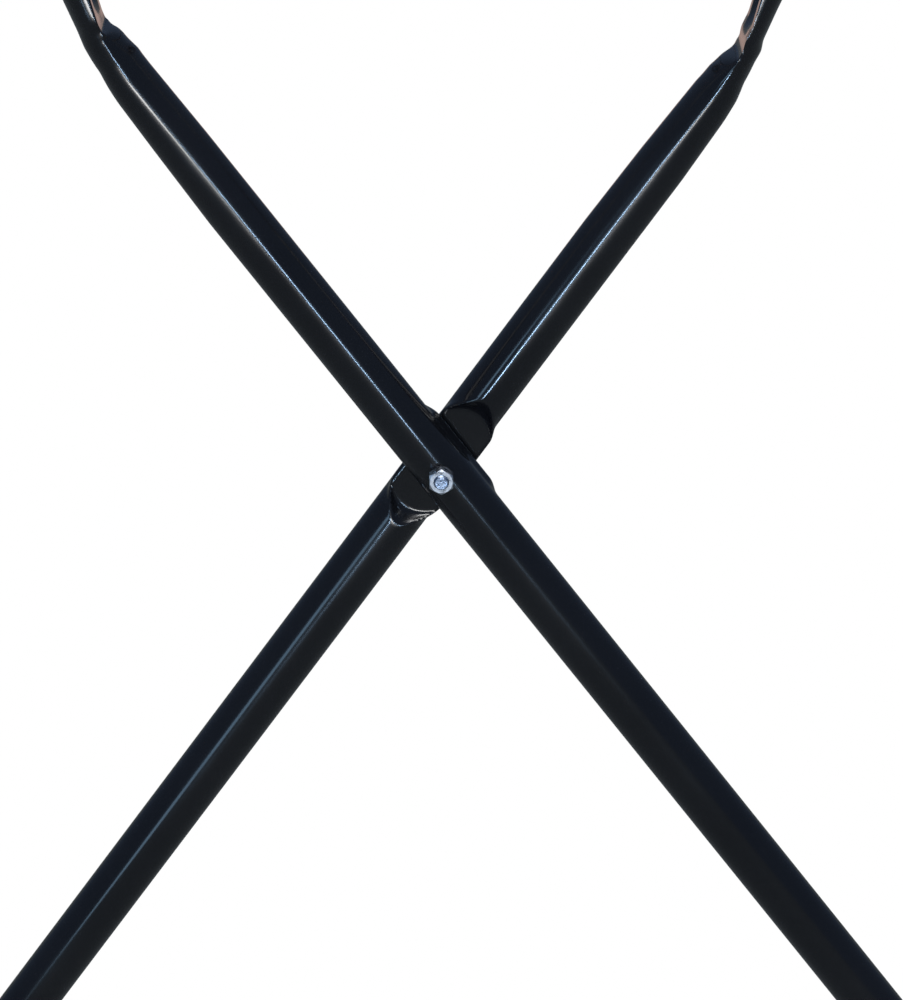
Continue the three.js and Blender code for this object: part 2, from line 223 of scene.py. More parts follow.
@dataclass(frozen=True)
class Finish:
    """A hard finish: paint, zinc, plastic or rubber."""

    name: str
    colour: tuple[float, float, float]
    second: tuple[float, float, float]
    metallic: float
    rough: tuple[float, float]
    fine_scale: float
    patch_scale: float
    bump_mm: float
    coat: float = 0.0
    specular: float = 0.5

    def material(self) -> bpy.types.Material:
        """Builds the material once.

        Returns:
            The material.
        """
        found = bpy.data.materials.get(self.name)
        if found:
            return found
        material = bpy.data.materials.new(self.name)
        material.use_nodes = True
        tree = material.node_tree
        shader = tree.nodes["Principled BSDF"]
        shader.inputs["Metallic"].default_value = self.metallic
        shader.inputs["Coat Weight"].default_value = self.coat
        shader.inputs["Coat Roughness"].default_value = 0.06
        shader.inputs["Specular IOR Level"].default_value = self.specular
        coords = tree.nodes.new("ShaderNodeTexCoord")
        grain = tree.nodes.new("ShaderNodeGroup")
        grain.node_tree = grain_group()
        grain.inputs["Fine Scale"].default_value = self.fine_scale
        grain.inputs["Patch Scale"].default_value = self.patch_scale
        grain.inputs["Rough Low"].default_value = self.rough[0]
        grain.inputs["Rough High"].default_value = self.rough[1]
        tree.links.new(coords.outputs["Object"], grain.inputs["Vector"])
        tree.links.new(grain.outputs["Roughness"], shader.inputs["Roughness"])
        two_tone(tree, grain.outputs["Patch"], (self.colour, self.second))
        bump_surface(tree, grain.outputs["Height"], self.bump_mm)
        return material


@dataclass(frozen=True)
class ClothFinish:
    """Woven cloth on the piece's own flat map."""

    name: str
    colour: tuple[float, float, float]
    second: tuple[float, float, float]
    threads_per_metre: float
    bump_mm: float

    def material(self) -> bpy.types.Material:
        """Builds the material once.

        Returns:
            The material.
        """
        found = bpy.data.materials.get(self.name)
        if found:
            return found
        material = bpy.data.materials.new(self.name)
        material.use_nodes = True
        tree = material.node_tree
        shader = tree.nodes["Principled BSDF"]
        shader.inputs["Roughness"].default_value = 0.88
        shader.inputs["Sheen Weight"].default_value = 0.25
        coords = tree.nodes.new("ShaderNodeTexCoord")
        weave = tree.nodes.new("ShaderNodeGroup")
        weave.node_tree = weave_group()
        weave.inputs["Threads"].default_value = self.threads_per_metre
        tree.links.new(coords.outputs["UV"], weave.inputs["Vector"])
        slub = tree.nodes.new("ShaderNodeTexNoise")
        slub.inputs["Scale"].default_value = 60.0
        slub.inputs["Detail"].default_value = 6.0
        tree.links.new(coords.outputs["UV"], slub.inputs["Vector"])
        blend = math_node(tree, "MULTIPLY", weave.outputs["Over"], slub.outputs[0])
        two_tone(tree, blend, (self.colour, self.second))
        bump_surface(tree, weave.outputs["Height"], self.bump_mm)
        return material


PAINT = Finish("gloss_black_paint", (0.0022, 0.0026, 0.0038), (0.004, 0.0046, 0.0066),
               0.0, (0.14, 0.22), 420.0, 14.0, 0.003, coat=0.5)
ZINC = Finish("blue_white_zinc", (0.50, 0.56, 0.66), (0.80, 0.83, 0.88),
              1.0, (0.22, 0.45), 1600.0, 260.0, 0.05)
BLUE_ZINC = Finish("blue_zinc_thread", (0.06, 0.16, 0.40), (0.78, 0.88, 1.0),
                   1.0, (0.22, 0.42), 900.0, 800.0, 0.22)
PLASTIC = Finish("moulded_black_plastic", (0.012, 0.012, 0.013), (0.020, 0.020, 0.021),
                 0.0, (0.42, 0.58), 1400.0, 30.0, 0.04)
RUBBER = Finish("foot_rubber", (0.020, 0.020, 0.020), (0.034, 0.033, 0.032),
                0.0, (0.72, 0.9), 900.0, 40.0, 0.09, specular=0.3)
THREAD = Finish("stitch_thread", (0.60, 0.42, 0.28), (0.72, 0.54, 0.38),
                0.0, (0.7, 0.85), 3000.0, 200.0, 0.02)
CLOTH = ClothFinish("sling_weave", (0.36, 0.105, 0.045), (0.60, 0.22, 0.11), 700.0, 0.25)


# ---------------------------------------------------------------- mesh tools


def place(name: str, data: bpy.types.ID) -> bpy.types.Object:
    """Makes an object at the origin for a mesh, light or camera, and links it."""
    made = bpy.data.objects.new(name, data)
    bpy.context.scene.collection.objects.link(made)
    return made


def smooth_outwards(mesh: bpy.types.Mesh, angle: float) -> None:
    """Turns all faces outwards; edges sharper than the angle, in degrees, stay sharp."""
    work = bmesh.new()
    work.from_mesh(mesh)
    bmesh.ops.recalc_face_normals(work, faces=work.faces)
    work.to_mesh(mesh)
    work.free()
    mesh.shade_smooth()
    mesh.set_sharp_from_angle(angle=math.radians(angle))


def make_piece(name: str, points: np.ndarray, faces: list, material: bpy.types.Material,
               angle: float = 32.0) -> bpy.types.Object:
    """Makes a mesh object at the origin with outward faces.

    Args:
        name: the piece's name, which gets its own ending.
        points: its points, in metres.
        faces: its faces as index lists.
        material: its finish.
        angle: edges sharper than this, in degrees, stay sharp.
    Returns:
        The linked object.
    """
    mesh = bpy.data.meshes.new(name)
    mesh.from_pydata([tuple(map(float, p)) for p in points], [], faces)
    smooth_outwards(mesh, angle)
    mesh.materials.append(material)
    return place(f"{name}_made", mesh)


def seat(piece: bpy.types.Object, body: Body, slot: Slot, *nodes: str) -> None:
    """Ties a finished piece to its body and hides the CAD nodes it stands for."""
    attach(piece, body.value)
    if nodes:
        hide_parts(*nodes)
    LOG.info("%s: %d faces on %s", piece.name, len(piece.data.polygons), body.value)


def revolve(profile: list, origin: Vector, direction: Vector, sides: int = 64) -> tuple:
    """Turns a profile about a line.

    Args:
        profile: pairs of radius and distance along the line, in metres.
        origin: where distance is 0.
        direction: the line's direction.
        sides: faces round the line.
    Returns:
        Points and faces.
    """
    closed = profile[0] == profile[-1]
    rings = profile[:-1] if closed else profile
    turn = Vector((0, 0, 1)).rotation_difference(direction.normalized())
    points, index = [], []
    for radius, distance in rings:
        if radius < 1e-9:
            index.append([len(points)] * sides)
            points.append(origin + turn @ Vector((0, 0, distance)))
            continue
        row = []
        for i in range(sides):
            a = TURN * i / sides
            row.append(len(points))
            spot = Vector((radius * math.cos(a), radius * math.sin(a), distance))
            points.append(origin + turn @ spot)
        index.append(row)
    faces = []
    count = len(index)
    for k in range(count if closed else count - 1):
        low, high = index[k], index[(k + 1) % count]
        for i in range(sides):
            j = (i + 1) % sides
            corners = []
            for corner in (low[i], low[j], high[j], high[i]):
                if corner not in corners:
                    corners.append(corner)
            if len(corners) > 2:
                faces.append(corners)
    return np.array([tuple(p) for p in points]), faces


def ring(bore: float, outer: float, low: float, high: float, soft: float = 0.3 * MM) -> list:
    """Closed profile of a ring with softened outer edges."""
    return [(bore, low), (outer - soft, low), (outer, low + soft), (outer, high - soft),
            (outer - soft, high), (bore, high), (bore, low)]


def grid_faces(rows: int, columns: int, wrap: bool) -> list:
    """Quads of a grid of points, wrapping round its columns if asked."""
    span = columns if wrap else columns - 1
    return [[r * columns + c, r * columns + (c + 1) % columns,
             (r + 1) * columns + (c + 1) % columns, (r + 1) * columns + c]
            for r in range(rows - 1) for c in range(span)]


# ---------------------------------------------------------------- geometry nodes


class NodeShape:
    """A geometry tree with named inputs, turned into a plain mesh."""

    def __init__(self, name: str) -> None:
        """Starts an empty tree."""
        self.tree = bpy.data.node_groups.new(name, "GeometryNodeTree")
        self.tree.is_modifier = True
        self.tree.interface.new_socket(
            name="Geometry", in_out="INPUT", socket_type="NodeSocketGeometry")
        self.tree.interface.new_socket(
            name="Geometry", in_out="OUTPUT", socket_type="NodeSocketGeometry")
        self.keys: dict[str, str] = {}
        self.source = self.tree.nodes.new("NodeGroupInput")
        self.sink = self.tree.nodes.new("NodeGroupOutput")

    def number(self, name: str, kind: str = "NodeSocketFloat") -> object:
        """Adds a named input and returns its socket inside the tree."""
        item = self.tree.interface.new_socket(name=name, in_out="INPUT", socket_type=kind)
        self.keys[name] = item.identifier
        return self.source.outputs[name]

    def node(self, kind: str, **links: object) -> bpy.types.Node:
        """Adds a node; sockets are linked and other values are set as defaults."""
        made = self.tree.nodes.new(kind)
        for label, value in links.items():
            socket = made.inputs[label.replace("_", " ")]
            if isinstance(value, bpy.types.NodeSocket):
                self.tree.links.new(value, socket)
            else:
                socket.default_value = value
        return made

    def close(self, geometry: object, material: bpy.types.Material) -> None:
        """Ends the tree in Realize Instances and Set Material."""
        real = self.node("GeometryNodeRealizeInstances", Geometry=geometry)
        dress = self.node("GeometryNodeSetMaterial", Geometry=real.outputs[0])
        dress.inputs["Material"].default_value = material
        self.tree.links.new(dress.outputs[0], self.sink.inputs[0])

    def run(self, piece: bpy.types.Object, values: dict[str, object]) -> bpy.types.Object:
        """Applies the tree to an object and leaves a plain mesh.

        Args:
            piece: the object that carries the tree.
            values: each named input's value.
        Returns:
            The same object.
        """
        modifier = piece.modifiers.new("shape", "NODES")
        modifier.node_group = self.tree
        for name, value in values.items():
            modifier[self.keys[name]] = value
        bpy.context.view_layer.update()
        graph = bpy.context.evaluated_depsgraph_get()
        mesh = bpy.data.meshes.new_from_object(piece.evaluated_get(graph))
        piece.modifiers.clear()
        piece.data = mesh
        smooth_outwards(mesh, 35)
        return piece


def straight_tube_shape() -> NodeShape:
    """Tree of a straight round tube along Y.

    Returns:
        The tree with inputs Half Length, Radius, Sides and Centre.
    """
    shape = NodeShape("straight_tube")
    half = shape.number("Half Length")
    radius = shape.number("Radius")
    sides = shape.number("Sides", "NodeSocketInt")
    centre = shape.number("Centre", "NodeSocketVector")
    minus = math_node(shape.tree, "MULTIPLY", half, -1.0)
    start = shape.node("ShaderNodeCombineXYZ", Y=minus)
    end = shape.node("ShaderNodeCombineXYZ", Y=half)
    line = shape.node("GeometryNodeCurvePrimitiveLine",
                      Start=start.outputs[0], End=end.outputs[0])
    circle = shape.node("GeometryNodeCurvePrimitiveCircle", Resolution=sides, Radius=radius)
    tube = shape.node("GeometryNodeCurveToMesh", Curve=line.outputs[0],
                      Profile_Curve=circle.outputs[0], Fill_Caps=True)
    move = shape.node("GeometryNodeTransform", Geometry=tube.outputs[0], Translation=centre)
    shape.close(move.outputs[0], PAINT.material())
    return shape


def stitch_shape() -> NodeShape:
    """Tree of a row of stitches along a line of points.

    Returns:
        The tree with inputs Spacing, Thread and Long.
    """
    shape = NodeShape("stitch_row")
    spacing = shape.number("Spacing")
    thread = shape.number("Thread")
    long = shape.number("Long")
    curve = shape.node("GeometryNodeMeshToCurve", Mesh=shape.source.outputs[0])
    dots = shape.tree.nodes.new("GeometryNodeCurveToPoints")
    dots.mode = "LENGTH"
    shape.tree.links.new(curve.outputs[0], dots.inputs["Curve"])
    shape.tree.links.new(spacing, dots.inputs["Length"])
    bead = shape.node("GeometryNodeMeshUVSphere", Segments=6, Rings=4, Radius=thread)
    size = shape.node("ShaderNodeCombineXYZ", X=1.0, Y=1.0, Z=long)
    copies = shape.node("GeometryNodeInstanceOnPoints", Points=dots.outputs["Points"],
                        Instance=bead.outputs[0], Rotation=dots.outputs["Rotation"],
                        Scale=size.outputs[0])
    shape.close(copies.outputs[0], THREAD.material())
    return shape


# ---------------------------------------------------------------- the object


@dataclass(frozen=True)
class BendShape:
    """How one crush bend is pinched; places are in mm past the bend, depths in mm."""

    along: float
    kink: float
    inside: tuple[tuple[float, float], ...]
    outside: tuple[tuple[float, float], ...]
    groove: float

    def depth(self, pairs: tuple, u: np.ndarray) -> np.ndarray:
        """Depth of a dent along the tube.

        Args:
            pairs: places and depths in mm.
            u: distances past the bend, in metres.
        Returns:
            Depths in metres.
        """
        places, depths = zip(*pairs)
        offsets = np.linspace(-1.5, 1.5, 5)
        total = sum(np.interp(u / MM + o, places, depths) for o in offsets)
        return total / len(offsets) * MM


OUTER_BEND = BendShape(
    along=290 * MM, kink=21,
    inside=((-60, 0), (-8, 0.7), (2, 1.2), (9, 3.4), (15, 5.2), (18.5, 7.4), (21.5, 12.6),
            (27, 12.8), (36, 11.8), (60, 9.0), (120, 1.5), (150, 0)),
    outside=((-100, 0), (-50, 1.4), (-16, 2.6), (1, 4.4), (16, 2.8), (26, 3.2), (60, 2.6),
             (130, 0)),
    groove=4.2)
INNER_BEND = BendShape(
    along=268 * MM, kink=18,
    inside=((-110, 0.5), (-60, 1.5), (-12, 3.4), (0, 5.0), (9, 8.4), (15, 14.4), (20, 15.4),
            (25, 14.4), (34, 15.0), (60, 12.0), (120, 3.0), (160, 0)),
    outside=((-60, 0), (-20, 1.2), (-8, 2.4), (2, 4.3), (14, 4.0), (21, 3.1), (27, 4.5),
             (45, 4.1), (130, 0)),
    groove=3.4)


@dataclass
class StandSizes:
    """Sizes shared by the stand's pieces, in metres and degrees."""

    end_half: float = 950 * MM
    axis_gap: float = 21 * MM
    leg_angle: float = 53.8
    outer_radius: float = 15 * MM
    inner_radius: float = 15 * MM
    rail_radius: float = 14 * MM
    bar_radius: float = 15 * MM
    wall: float = 1.5 * MM
    flat_depth: float = 6 * MM
    fit: float = 0.3 * MM

    def pivot(self) -> Vector:
        """The fold's line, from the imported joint."""
        return Vector(frame["joints"][0]["pos_m"])

    def centre_of(self, node: str) -> Vector:
        """Middle of a CAD node's box."""
        low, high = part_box(node)
        return (Vector(low) + Vector(high)) / 2

    def arm(self, bend: BendShape) -> tuple[float, float]:
        """Angle in degrees and length of the arm from a bend to its rail."""
        rail = self.centre_of("rail_inner")
        leg = math.radians(self.leg_angle)
        dx = rail.x - bend.along * math.cos(leg)
        dz = rail.z - self.pivot().z - bend.along * math.sin(leg)
        return math.degrees(math.atan2(dz, dx)), math.hypot(dx, dz)


@dataclass
class CrossTube:
    """A cross tube with a press flat at the pivot and one crushed bend."""

    name: str
    body: Body
    radius: float
    y: float
    mate: int
    side: int
    bend: BendShape
    sizes: StandSizes
    flat_half: float = 39 * MM
    flat_corner: float = 1.35
    run_out: float = 13 * MM
    flare: float = 0.3
    crease: float = 1.3 * MM
    lip: float = 1.6 * MM
    turn_half: float = 12 * MM
    cope: float = 9 * MM
    round_faces: int = 88

    def stations(self) -> np.ndarray:
        """Places along the tube, closer together at the flat and the bend."""
        s = self.sizes
        low = s.centre_of("floor_bar_outer").z
        leg = (s.pivot().z - low) / math.sin(math.radians(s.leg_angle))
        b = self.bend.along
        return np.concatenate([
            np.linspace(-leg + self.cope, -46 * MM, 24),
            np.linspace(-44 * MM, 44 * MM, 89),
            np.linspace(50 * MM, b - 115 * MM, 10),
            np.linspace(b - 110 * MM, b - 12 * MM, 30),
            np.linspace(b - 11 * MM, b + 44 * MM, 80),
            np.linspace(b + 46 * MM, b + 165 * MM, 36),
            np.linspace(b + 172 * MM, b + s.arm(self.bend)[1] - self.cope, 10)])

    def centre_line(self, t: np.ndarray) -> tuple:
        """Centre line and slope at each station.

        Args:
            t: distances from the pivot.
        Returns:
            X, Z and slope, before the side is applied.
        """
        s = self.sizes
        fine = np.linspace(t[0], t[-1], 12000)
        turned = np.clip((fine - self.bend.along) / (2 * self.turn_half) + 0.5, 0, 1)
        slope = np.radians(s.leg_angle + (s.arm(self.bend)[0] - s.leg_angle) * turned)
        step = fine[1] - fine[0]
        x = -np.cumsum(np.cos(slope)) * step
        z = np.cumsum(np.sin(slope)) * step
        x -= np.interp(0.0, fine, x)
        z -= np.interp(0.0, fine, z)
        return (np.interp(t, fine, v) for v in (x, z, slope))

    def build(self) -> bpy.types.Object:
        """Builds the tube's mesh.

        Returns:
            The piece.
        """
        t = self.stations()
        cx, cz, slope = self.centre_line(t)
        phi = TURN * (np.arange(self.round_faces) + 0.5) / self.round_faces
        r = self.radius
        grid_t, grid_phi = np.meshgrid(t, phi, indexing="ij")
        a, b = r * np.cos(grid_phi), r * np.sin(grid_phi)
        a, b = self.pressed(grid_t, a, b)
        a, b = self.crushed(grid_t, a, b)
        px = cx[:, None] + a * np.sin(slope)[:, None]
        pz = cz[:, None] + a * np.cos(slope)[:, None]
        points = np.stack([-self.side * px, self.y + self.mate * b,
                           self.sizes.pivot().z + pz], axis=-1).reshape(-1, 3)
        rows, columns = len(t), self.round_faces
        faces = grid_faces(rows, columns, True)
        faces.append(list(range(columns)))
        faces.append(list(range((rows - 1) * columns, rows * columns)))
        piece = make_piece(self.name, points, faces, PAINT.material(), 50)
        seat(piece, self.body, Slot.PAINT, self.name)
        return piece

    def pressed(self, t: np.ndarray, a: np.ndarray, b: np.ndarray) -> tuple:
        """Presses the flat: a shallow run-out with round ends, widening the tube."""
        r = self.radius
        reach = self.flat_half * np.sqrt(np.clip(1 - (a / (self.flat_corner * r)) ** 2, 0, 1))
        press = ease((reach - np.abs(t)) / self.run_out + 0.5)
        wide = a * (1 + self.flare * press * ease(1.6 * b / r))
        return wide, np.minimum(b, r - self.sizes.flat_depth * press)

    def crushed(self, t: np.ndarray, a: np.ndarray, b: np.ndarray) -> tuple:
        """Pinches the bend from both sides and grooves the inner wall past the kink."""
        r, bend = self.radius, self.bend
        u = t - bend.along
        dent = bend.depth(bend.inside, u)
        back = bend.depth(bend.outside, u)
        across = np.clip(b / r, -1, 1)
        a = np.where(a < 0, a * (r - back) / r, a)
        limit = r - dent
        h = np.clip(0.5 + 0.5 * (limit - a) / self.lip, 0, 1)
        flat = limit * (1 - h) + a * h - self.lip * h * (1 - h)
        rounded = np.where(a > 0, a * limit / r, a)
        past = ease((u / MM - bend.kink + 3) / 4)
        a = rounded + (flat - rounded) * past * np.clip(dent / (2 * MM), 0, 1)
        deep = ease((u / MM - bend.kink - 4) / 26)
        cut = deep * np.clip(dent / (9 * MM), 0, 1) * bend.groove * MM
        inner = ease((a - limit + 5 * MM) / (4 * MM))
        a = a - cut * inner * np.clip(1 - (across / 0.6) ** 2, 0, 1)
        crease = self.crease * np.exp(-((u / MM - bend.kink - 2) / 4.5) ** 2)
        wide = 1 + 0.012 * (dent + 0.5 * back) / MM
        return a, b * (wide - crease / r * ease(1.4 * np.abs(across)))


@dataclass
class Pivot:
    """Bolt, nut, sleeve and spacer at one end."""

    end: int
    tag: str
    sizes: StandSizes
    bolt_radius: float = 4 * MM
    sleeve_radius: float = 6.0 * MM
    nut_flats: float = 13 * MM
    nut_thick: float = 7.2 * MM
    sleeve_proud: float = 1.8 * MM
    sleeve_tail: float = 0.8 * MM
    spacer_radius: float = 12 * MM
    spacer_thick: float = 2.4 * MM
    thread_pitch: float = 0.42 * MM

    def nut(self, low: float, high: float, origin: Vector) -> bpy.types.Object:
        """Hex nut with both faces chamfered, one corner up.

        Args:
            low: inner face, outwards from the outer tube's axis.
            high: outer face.
            origin: the outer tube's axis at the pivot.
        Returns:
            The piece.
        """
        count = 96
        a = TURN * np.arange(count) / count
        inside = self.nut_flats / 2
        edge = inside / np.cos((a - math.pi / 2) % (TURN / 6) - TURN / 12)
        face = np.full(count, 0.955 * inside)
        bore = np.full(count, self.bolt_radius + 0.15 * MM)
        mouth = np.full(count, self.bolt_radius + 0.35 * MM)
        fall = (edge - face) * math.tan(math.radians(28))
        rows = [(bore, np.full(count, high - 0.5 * MM)), (mouth, np.full(count, high)),
                (face, np.full(count, high)), (edge, high - fall), (edge, low + fall),
                (face, np.full(count, low)), (bore, np.full(count, low))]
        points = [(origin.x + rr * math.cos(t), origin.y + self.end * d,
                   origin.z + rr * math.sin(t))
                  for radii, depths in rows for rr, d, t in zip(radii, depths, a)]
        faces = grid_faces(len(rows), count, True)
        last = (len(rows) - 1) * count
        faces += [[last + i, last + (i + 1) % count, (i + 1) % count, i] for i in range(count)]
        return make_piece(f"pivot_nut_{self.tag}", np.array(points), faces, ZINC.material(), 18)

    def build(self) -> None:
        """Builds the four pieces."""
        s = self.sizes
        origin = Vector((0, self.end * s.end_half, s.pivot().z))
        out = Vector((0, self.end, 0))
        sleeve_out = s.outer_radius + self.sleeve_proud
        sleeve_in = -s.axis_gap - s.inner_radius - self.sleeve_tail
        nut_in = sleeve_out + s.fit
        nut_out = nut_in + self.nut_thick
        r = self.bolt_radius
        nut = self.nut(nut_in, nut_out, origin)
        seat(nut, Body.OUTER, Slot.ZINC, f"pivot_nut_{self.tag}")
        profile = ring(r + s.fit, self.sleeve_radius, sleeve_in, sleeve_out)
        self.turned("pivot_sleeve", profile, origin, out, ZINC, Slot.ZINC)
        top = s.flat_depth - s.outer_radius - s.fit
        profile = ring(self.sleeve_radius + s.fit, self.spacer_radius, top - self.spacer_thick,
                       top)
        self.turned("pivot_spacer", profile, origin, out, PLASTIC, Slot.PLASTIC)
        head = sleeve_in - s.fit
        profile = [(0, head - 4.5 * MM), (2.5 * MM, head - 4.4 * MM), (5 * MM, head - 3.7 * MM),
                   (7 * MM, head - 2.2 * MM), (7.9 * MM, head - 0.5 * MM), (7.8 * MM, head),
                   (r, head), (r, nut_out - 1.2 * MM)]
        for i in range(4):
            base = nut_out - 1.0 * MM + 1.4 * self.thread_pitch * i
            profile += [(r - 0.45 * MM, base), (r, base + 0.5 * self.thread_pitch)]
        profile += [(r - 0.25 * MM, nut_out + 1.35 * MM), (r - 0.7 * MM, nut_out + 1.7 * MM),
                    (0, nut_out + 1.6 * MM)]
        self.turned("pivot_bolt", profile, origin, out, BLUE_ZINC, Slot.ZINC)

    def turned(self, kind: str, profile: list, origin: Vector, out: Vector,
               finish: Finish, slot: Slot) -> None:
        """Builds one turned piece of the stack."""
        points, faces = revolve(profile, origin, out, 72)
        piece = make_piece(f"{kind}_{self.tag}", points, faces, finish.material())
        seat(piece, Body.OUTER, slot, f"{kind}_{self.tag}")


@dataclass
class HalfFrame:
    """One rigid half: two cross tubes, a rail, a floor bar and what joins them."""

    tag: str
    body: Body
    radius: float
    y: float
    side: int
    sizes: StandSizes
    tube_shape: NodeShape
    shank: float = 3 * MM
    bolt_reach: float = 28 * MM
    plug_set: float = 6 * MM
    plug_length: float = 30 * MM
    cap_high: float = 5 * MM
    cap_deep: float = 14 * MM

    def long_tube(self, node: str, radius: float) -> Vector:
        """Builds a straight tube where its CAD node lies and returns its centre."""
        low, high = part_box(node)
        centre = self.sizes.centre_of(node)
        mesh = bpy.data.meshes.new(node)
        piece = place(f"{node}_tube", mesh)
        half = (high[1] - low[1]) / 2
        self.tube_shape.run(piece, {"Half Length": half, "Radius": radius, "Sides": 72,
                                    "Centre": tuple(centre)})
        seat(piece, self.body, Slot.PAINT, node)
        return centre

    def bolt_and_plug(self, kind: str, end: str, centre: Vector, y: float,
                      direction: Vector, radius: float) -> None:
        """Builds the button-head bolt and the plug it screws into."""
        base = -radius - self.sizes.fit
        origin = Vector((centre.x, y, centre.z))
        shank = self.shank
        tip = radius + self.bolt_reach
        profile = [(0, base - 1.4 * MM), (1.7 * MM, base - 1.4 * MM), (2.0 * MM, base - 3.4 * MM),
                   (3.2 * MM, base - 3.2 * MM), (4.4 * MM, base - 2.4 * MM),
                   (5.2 * MM, base - 1.2 * MM), (5.45 * MM, base - 0.2 * MM),
                   (5.3 * MM, base), (shank, base), (shank, tip), (0, tip)]
        points, faces = revolve(profile, origin, direction, 48)
        name = f"{kind}_bolt_{self.tag}_{end}"
        bolt = make_piece(name, points, faces, ZINC.material())
        seat(bolt, self.body, Slot.ZINC, name)
        start = radius + self.plug_set
        outer = self.radius - self.sizes.wall - self.sizes.fit
        profile = ring(shank + 0.2 * MM, outer, start, start + self.plug_length)
        points, faces = revolve(profile, origin, direction, 40)
        name = f"{kind}_plug_{self.tag}_{end}"
        plug = make_piece(name, points, faces, PLASTIC.material())
        seat(plug, self.body, Slot.PLASTIC, name)

    def cap(self, end: int, word: str, centre: Vector) -> None:
        """Builds the domed plug cap in a rail's end."""
        name = f"rail_cap_{self.tag}_{word}"
        low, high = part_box(name)
        outside = max(abs(low[1]), abs(high[1]))
        r = self.sizes.rail_radius
        bore = r - self.sizes.wall - self.sizes.fit
        base = outside - self.cap_high
        inner = base - self.cap_deep
        profile = [(0, inner), (bore, inner), (bore, base + 0.3 * MM),
                   (r, base + 0.3 * MM), (r, base + 2.6 * MM), (r - 0.5 * MM, base + 3.7 * MM),
                   (r - 1.6 * MM, base + 4.5 * MM), (r - 3.2 * MM, base + 4.9 * MM),
                   (0, outside)]
        origin = Vector((centre.x, 0, centre.z))
        points, faces = revolve(profile, origin, Vector((0, end, 0)), 64)
        seat(make_piece(name, points, faces, PLASTIC.material()), self.body, Slot.PLASTIC, name)

    def foot(self, word: str, centre: Vector) -> None:
        """Builds a rubber foot with softened edges over a floor bar's end."""
        name = f"foot_{self.tag}_{word}"
        low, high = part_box(name)
        r = (high[0] - low[0]) / 2
        corner = 2.5 * MM
        outline = []
        for cx, first, start in ((r - corner, True, -90), (-r + corner, False, 180)):
            arc = [(cx + corner * math.cos(math.radians(start + 15 * i)),
                    corner + corner * math.sin(math.radians(start + 15 * i)))
                   for i in range(7)]
            outline += arc
            if first:
                outline += [(r * math.cos(math.radians(6 * i)),
                             centre.z + r * math.sin(math.radians(6 * i))) for i in range(31)]
        shape = np.array(outline)
        middle = np.array([0.0, (high[2] + low[2]) / 2])
        soft = 1.2 * MM
        depths = [(low[1], 1), (low[1] + 0.35 * soft, 0.35), (low[1] + soft, 0),
                  (high[1] - soft, 0), (high[1] - 0.35 * soft, 0.35), (high[1], 1)]
        rows = []
        for depth, share in depths:
            size = 1 - share * soft / r
            pulled = middle + (shape - middle) * size
            pulled[:, 1] = np.maximum(pulled[:, 1], 0.0)
            rows.append([(centre.x + x, depth, z) for x, z in pulled])
        count = len(outline)
        faces = grid_faces(len(rows), count, True)
        faces.append(list(range(count)))
        faces.append(list(range((len(rows) - 1) * count, len(rows) * count)))
        piece = make_piece(name, np.array(rows).reshape(-1, 3), faces, RUBBER.material(), 40)
        seat(piece, self.body, Slot.RUBBER, name)

    def build(self) -> None:
        """Builds the whole half."""
        s = self.sizes
        rail = self.long_tube(f"rail_{self.tag}", s.rail_radius)
        bar = self.long_tube(f"floor_bar_{self.tag}", s.bar_radius)
        bend = OUTER_BEND if self.body is Body.OUTER else INNER_BEND
        arm, leg = math.radians(s.arm(bend)[0]), math.radians(s.leg_angle)
        down = Vector((-self.side * math.cos(arm), 0, -math.sin(arm)))
        up = Vector((self.side * math.cos(leg), 0, math.sin(leg)))
        inwards = 1 if self.body is Body.INNER else -1
        for end, word in ((-1, "front"), (1, "back")):
            y = end * self.y
            CrossTube(f"cross_tube_{self.tag}_{word}", self.body, self.radius, y,
                      end * inwards, self.side, bend, s).build()
            self.bolt_and_plug("rail", word, rail, y, down, s.rail_radius)
            self.bolt_and_plug("bar", word, bar, y, up, s.bar_radius)
            self.cap(end, word, rail)
            self.foot(word, bar)


